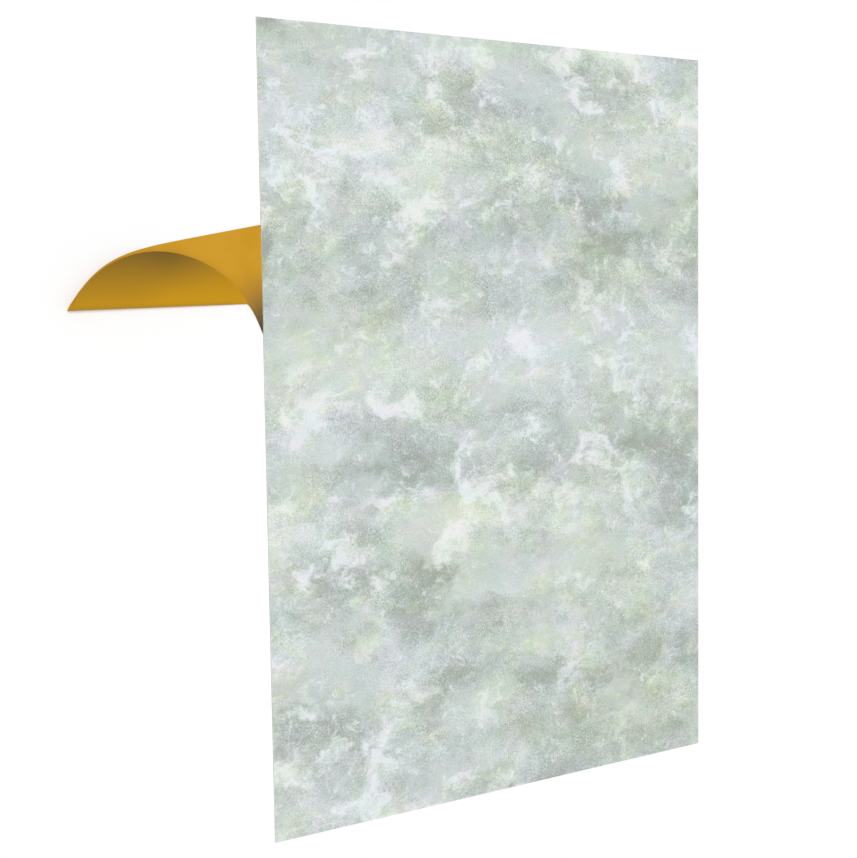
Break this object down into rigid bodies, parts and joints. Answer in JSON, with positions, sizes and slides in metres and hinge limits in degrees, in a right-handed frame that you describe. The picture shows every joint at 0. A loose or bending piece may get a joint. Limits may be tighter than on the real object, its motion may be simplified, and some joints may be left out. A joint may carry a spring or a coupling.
{
  "type": "pvc wall sheet",
  "caption": "Thin flat PVC wall sheet with a mottled stone-look face and a plastic release film on its adhesive back, peeled at one side into a curled flap.",
  "frame": {"origin": "middle of the release film's underside, on the floor under the middle of the sheet", "axes": "+Y up the sheet as it hangs on a wall, +Z out of its printed face, +X to the right as the face is seen"},
  "size_m": [1.345, 1.4, 0.02],
  "materials": {
    "printed_pvc": "satin print of pale grey-green stone",
    "release_film": "golden yellow film, soft gloss"
  },
  "bodies": {
    "root": {"wall_sheet": "printed_pvc", "release_film": "release_film"}
  },
  "joints": []
}
